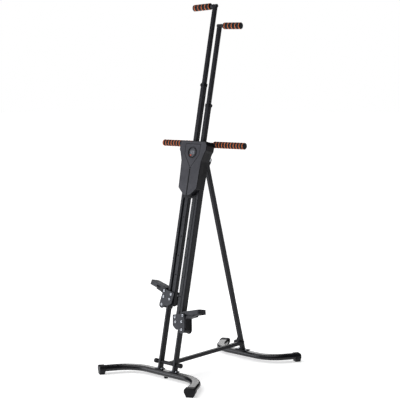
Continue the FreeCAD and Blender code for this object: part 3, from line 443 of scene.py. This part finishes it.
def add_handlebar_grips():
    """Fixed handlebar grips of eleven rings, the last by the end."""
    start, end, radius = 0.092, 0.327, 0.0202
    first_ring, pitch, count = 0.0945, 0.0226, 11
    rings = [first_ring + pitch * k for k in range(count)]
    for name, side in SIDES:
        def place(piece, side=side):
            piece.data.transform(Matrix.Translation((0, HANDLEBAR_OFF, HANDLEBAR_S)))
            if side < 0:
                other_side(piece)
            place_leaned(piece)
        ringed_grip("foam_handlebar_grip_" + name, start, end, HANDLEBAR_RADIUS, radius, rings,
                    "frame", "handlebar_grip_" + name, place)


# ---- Housing ----
def leaned_strips(name, look, bars):
    """One flat-shaded piece of the housing, from bars as strip() takes them."""
    bm = bmesh.new()
    for bar in bars:
        strip(bm, *bar)
    finish_piece(place_leaned(new_piece(name, bm, look, False)), "frame")


def add_groove_shade():
    """Dark strips on the floors of the housing's middle groove and of the shield-shaped one round the dial:
    painted shade where the grooves lie in shadow.
    """
    middle_half, shield_half = 0.0044, 0.0015
    groove_top, groove_end = BUTTON_S - 0.0062, 1.0845
    bars = [((0, groove_top), (0, groove_end), middle_half, COVER_FRONT + 0.0006, COVER_FRONT + 0.0017)]
    for (x0, s0), (x1, s1) in zip(SHIELD[:-1], SHIELD[1:]):
        for side in (-1, 1):
            bars.append(((side * x0, s0), (side * x1, s1), shield_half,
                         COVER_FRONT + 0.0004, COVER_FRONT + 0.0011))
    leaned_strips("cover_groove_painted_shade", "seam", bars)


def add_dial_details():
    """The dial's window, its hour ticks and bars, and its red mark."""
    back = DIAL_FRONT + 0.0004
    leaned_strips("dial_window", "dial_window",
                  [((-0.012, DISPLAY_S), (0.012, DISPLAY_S), 0.0095, DIAL_FRONT - 0.0005, back)])

    ticks, inner, outer, tick_half = 12, 0.0205, 0.0245, 0.0008
    marks = []
    for k in range(ticks):
        a = math.radians(30 * k)
        marks.append(((inner * math.cos(a), DISPLAY_S + inner * math.sin(a)),
                      (outer * math.cos(a), DISPLAY_S + outer * math.sin(a)),
                      tick_half, DIAL_FRONT - 0.0006, back))
    for drop, width in ((0.0055, 0.009), (0.0, 0.0065), (-0.0055, 0.009)):
        marks.append(((-width, DISPLAY_S + drop), (width, DISPLAY_S + drop), 0.0011,
                      DIAL_FRONT - 0.0009, DIAL_FRONT - 0.0004))
    leaned_strips("dial_marks", "seam", marks)

    red_s = DISPLAY_S - 0.0165
    leaned_strips("dial_red_mark", "red_mark",
                  [((-0.0165, red_s), (-0.0045, red_s), 0.0028, DIAL_FRONT - 0.0008, back)])


def add_screw_crosses():
    """Dark crosses on the heads of the screws at the back of the housing: painted shade standing in for
    their cross recesses.
    """
    reach, half = 0.0024, 0.0006
    front, back = COVER_BACK + 0.0014, COVER_BACK + 0.0018
    bars = []
    for side in (-1, 1):
        for x, s in COVER_SCREWS:
            for dx, dz in ((reach, 0.0), (0.0, reach)):
                bars.append(((side * x - dx, s - dz), (side * x + dx, s + dz), half, front, back))
    leaned_strips("screw_crosses", "seam", bars)


# ---- Fasteners ----
def add_bolt_heads():
    """Domed heads with hexagon sockets on the carriage bolts; the sockets are painted near black, a painted
    shade in the recess.
    """
    dome = [(0.0002, 0.0069), (-0.0008, 0.0064), (-0.0015, 0.0048)]
    socket = [(-0.0016, 0.0033), (-0.0002, 0.0031), (-0.0002, 0.0)]
    stations = [(BOLT_FACE + along, radius) for along, radius in dome + socket]
    for name, side in SIDES:
        bm = bmesh.new()
        for p, q in BOLT_SPOTS:
            lathe(bm, stations, 36, "Y", (p, 0, q), looks=(0, 0, 0, 1, 1), hexes=(3, 4))
        piece = new_piece("carriage_bolt_domes_" + name, bm, ("steel", "seam"))
        piece.data.transform(CARRIAGE_FRAME)
        finish_piece(on_arm(piece, side), name + "_arm")


def add_washers():
    """Washers under the heads that hold the posts and the leg to their bases."""
    post_y, across_post, across_leg = 0.005, 0.017, 0.032
    outer, inner, thick, bevel = 0.0085, 0.0050, 0.0012, 0.0008
    spots = {"frame": [(side * POST_X + dx, post_y) for side in (-1, 1)
                       for dx in (-across_post, across_post)],
             "rear_leg": [(LEG_X + dx, LEG_Y) for dx in (-across_leg, across_leg)]}
    for body, places in spots.items():
        bm = bmesh.new()
        for x, y in places:
            lathe(bm, [(PLATE_TOP_Z, outer), (PLATE_TOP_Z + bevel, outer), (PLATE_TOP_Z + thick, 0.0080),
                       (PLATE_TOP_Z + thick, inner)], 36, "Z", (x, y + SHIFT_Y, 0))
        finish_piece(new_piece("washers_" + body, bm, "steel"), body)


def fluted_knob(name, x0, x1, radius, centre, body, place):
    """Small ribs round a pull knob that lies along X."""
    flutes, rib, sunk = 16, 0.0009, 0.0004
    bm = bmesh.new()
    for k in range(flutes):
        a = 2 * math.pi * k / flutes
        spot = (0, centre[0] + (radius - sunk) * math.cos(a), centre[1] + (radius - sunk) * math.sin(a))
        lathe(bm, [(x0, 0), (x0, rib), (x1, rib), (x1, 0)], 8, "X", spot)
    piece = new_piece(name, bm, "plastic")
    place(piece)
    finish_piece(piece, body)


def add_knobs():
    """Ribs on the two height knobs and on the leg's lock knob."""
    start, length = ARM_X + COLLAR_HALF + 0.0028, 0.0052
    for name, side in SIDES:
        def place(piece, side=side):
            on_arm(piece, side)
        fluted_knob("height_knob_ribs_" + name, start, start + length, 0.009,
                    (0, ARM_TOP - HEIGHT_PIN_DROP), name + "_height_pin", place)
    fluted_knob("lock_knob_ribs", -0.0415, -0.028, 0.011, (LOCK_PIN_Y + SHIFT_Y, LOCK_PIN_Z), "lock_pin",
                lambda piece: None)


def add_hole_grommets():
    """Dark plastic liners in the arms' adjustment holes, on the front and the back; down their throats is a
    painted shadow.
    """
    flange, throat, rise, depth = 0.0048, 0.0034, 0.0005, 0.003
    for name, side in SIDES:
        bm = bmesh.new()
        for k in range(HOLE_COUNT):
            s = HOLE_TOP_S - HOLE_PITCH * k
            for way in (-1, 1):
                face = ARM_HALF * way
                lathe(bm, [(face, flange), (face + rise * way, 0.0044), (face + rise * way, throat),
                           (face - depth * way, 0.0032), (face - depth * way, 0.0)], 28, "Y",
                      (ARM_X, 0, s), (0, 0, 1, 1))
        finish_piece(on_arm(new_piece("hole_grommets_" + name, bm, ("plastic", "hole")), side),
                     name + "_arm")


# ---- Pedals ----
def clipped(points, planes):
    """The part of a flat polygon inside every half plane a*x + b*y <= c."""
    for a, b, c in planes:
        kept = []
        for (x0, y0), (x1, y1) in zip(points, points[1:] + points[:1]):
            d0, d1 = a * x0 + b * y0 - c, a * x1 + b * y1 - c
            if d0 <= 0:
                kept.append((x0, y0))
            if (d0 < 0 < d1) or (d1 < 0 < d0):
                t = d0 / (d0 - d1)
                kept.append((x0 + t * (x1 - x0), y0 + t * (y1 - y0)))
        points = kept
        if len(points) < 3:
            return []
    return points


def add_tread_ribs():
    """Raised diagonal ribs between the tread's grooves, painted much lighter than the tread: a painted
    highlight where the light catches their tops.
    """
    pitch, slant, half, reach = 0.013, math.radians(38), 0.0024, 0.07
    bottom, top = -0.0002, 0.0006
    edge = [(-1, 0, 0.013), (1, 0, 0.109), (0, 1, 0.028), (0, -1, 0.028), (1, 1, 0.131), (1, -1, 0.131)]
    for name, side in SIDES:
        bm = bmesh.new()
        for k in range(-2, 12):
            x = -0.0015 + pitch * k
            dx, dy = math.cos(slant), math.sin(slant)
            band = [(x + u * dx - v * dy, u * dy + v * dx)
                    for u, v in ((-reach, -half), (reach, -half), (reach, half), (-reach, half))]
            shape = clipped(band, edge)
            if not shape:
                continue
            low = [bm.verts.new((px, py, bottom)) for px, py in shape]
            high = [bm.verts.new((px, py, top)) for px, py in shape]
            bm.faces.new(high)
            for i in range(len(shape)):
                j = (i + 1) % len(shape)
                bm.faces.new((low[i], low[j], high[j], high[i]))
        piece = new_piece("tread_ribs_painted_highlight_" + name, bm, "tread_rib", False)
        piece.data.transform(PEDAL_FRAME)
        finish_piece(on_arm(piece, side, True), name + "_arm")


# ---- Welds ----
def ring_path(centre, radius, count=40):
    """Points round a circle across the X axis."""
    return [Vector((centre[0], centre[1] + radius * math.cos(a), centre[2] + radius * math.sin(a)))
            for a in (2 * math.pi * k / count for k in range(count))]


def add_welds():
    """Beads where the posts, the leg, the top handles' bars and the handlebar are joined."""
    rng = random.Random(4)
    foot_z = PLATE_TOP_Z + 0.0006
    bm = bmesh.new()
    for side in (-1, 1):
        foot = rectangle_path(side * POST_X, 0.0099 + SHIFT_Y, foot_z, 0.0095, 0.0187)
        bead(bm, foot, 0.0016, True, rng)
    finish_piece(new_piece("post_foot_welds", bm, "weld"), "frame")

    bm = bmesh.new()
    bead(bm, rectangle_path(LEG_X, LEG_Y + SHIFT_Y, foot_z, 0.0133, 0.0154), 0.0018, True, rng)
    finish_piece(new_piece("leg_foot_weld", bm, "weld"), "rear_leg")

    for name, side in SIDES:
        bm = bmesh.new()
        joint = (ARM_X + HANDLE_HALF + 0.0004, 0, HANDLE_BAR_S - 0.0004)
        bead(bm, ring_path(joint, 0.0112), 0.0014, True, rng)
        finish_piece(on_arm(new_piece("handle_weld_" + name, bm, "weld"), side), name + "_handle")

    bm = bmesh.new()
    for side in (-1, 1):
        for edge in (-0.007, 0.007):
            path = [Vector((side * POST_X + edge, 0.0228 + 0.0012 * k, 1.3982)) for k in range(6)]
            bead(bm, path, 0.0011, False, rng)
    finish_piece(place_leaned(new_piece("handlebar_welds", bm, "weld")), "frame")


add_handle_grips()
add_handlebar_grips()
add_groove_shade()
add_dial_details()
add_screw_crosses()
add_bolt_heads()
add_washers()
add_knobs()
add_tread_ribs()
add_hole_grommets()
add_welds()


# ---- Stage, light and camera ----
def add_area(name, place, target, size, power, colour):
    """A square lamp of one side and power, aimed at a point."""
    data = bpy.data.lights.new(name, "AREA")
    data.shape = "SQUARE"
    data.size = size
    data.energy = power
    data.color = colour
    lamp = bpy.data.objects.new(name, data)
    lamp.location = place
    lamp.rotation_euler = (Vector(target) - Vector(place)).to_track_quat("-Z", "Y").to_euler()
    scene.collection.objects.link(lamp)
    return lamp


def add_sun(name, direction, strength, spread):
    """A very soft light from all over one side of the sky; `spread` is its width in degrees."""
    data = bpy.data.lights.new(name, "SUN")
    data.energy = strength
    data.angle = math.radians(spread)
    lamp = bpy.data.objects.new(name, data)
    lamp.rotation_euler = Vector(direction).to_track_quat("Z", "Y").to_euler()
    scene.collection.objects.link(lamp)


def add_floor():
    """A plain pale floor, wide enough to reach the horizon."""
    mesh = bpy.data.meshes.new("floor")
    half = 60.0
    corners = [(-half, -half, 0), (half, -half, 0), (half, half, 0), (-half, half, 0)]
    mesh.from_pydata(corners, [], [(0, 1, 2, 3)])
    floor = bpy.data.objects.new("floor", mesh)
    m = Shader("pale_floor", (0.9, 0.9, 0.9), 0.9)
    m.colour(m.noise(0.4), (0.9, 0.9, 0.9), (0.92, 0.92, 0.92))
    m.main.inputs["Emission Color"].default_value = (1.0, 1.0, 1.0, 1.0)
    m.main.inputs["Emission Strength"].default_value = 0.6
    mesh.materials.append(m.mat)
    scene.collection.objects.link(floor)


def add_world():
    """White behind the object, and a dimmer even light from all round."""
    world = bpy.data.worlds.new("studio")
    world.use_nodes = True
    tree = world.node_tree
    tree.nodes.clear()
    out = tree.nodes.new("ShaderNodeOutputWorld")
    mix = tree.nodes.new("ShaderNodeMixShader")
    path = tree.nodes.new("ShaderNodeLightPath")
    shades = []
    for strength in (0.04, 1.0):
        shade = tree.nodes.new("ShaderNodeBackground")
        shade.inputs["Color"].default_value = (1, 1, 1, 1)
        shade.inputs["Strength"].default_value = strength
        shades.append(shade)
    tree.links.new(path.outputs["Is Camera Ray"], mix.inputs[0])
    tree.links.new(shades[0].outputs[0], mix.inputs[1])
    tree.links.new(shades[1].outputs[0], mix.inputs[2])
    tree.links.new(mix.outputs[0], out.inputs[0])
    scene.world = world


def add_camera():
    """Eye level, in front of the machine and to its right, with a long lens."""
    azimuth, pitch = math.radians(42.9), math.radians(5.78)
    place, lens = (4.4382, -4.8239, 1.6994), 98.27
    data = bpy.data.cameras.new("camera")
    data.lens = lens
    camera = bpy.data.objects.new("camera", data)
    camera.location = place
    camera.rotation_euler = (math.pi / 2 - pitch, 0, azimuth)
    scene.collection.objects.link(camera)
    scene.camera = camera


add_floor()
add_world()
add_area("key", (-2.6, -3.3, 1.0), (0, -0.1, 0.9), 2.6, 95, (0.93, 0.95, 1.0))
add_area("back", (-1.7, 1.75, 0.85), (0.2, -0.45, 0.05), 1.2, 8, (1.0, 1.0, 1.0)).visible_camera = False
add_sun("sky", (-0.35, -0.35, 1.0), 1.9, 70)
add_camera()
scene.view_settings.view_transform = "Standard"
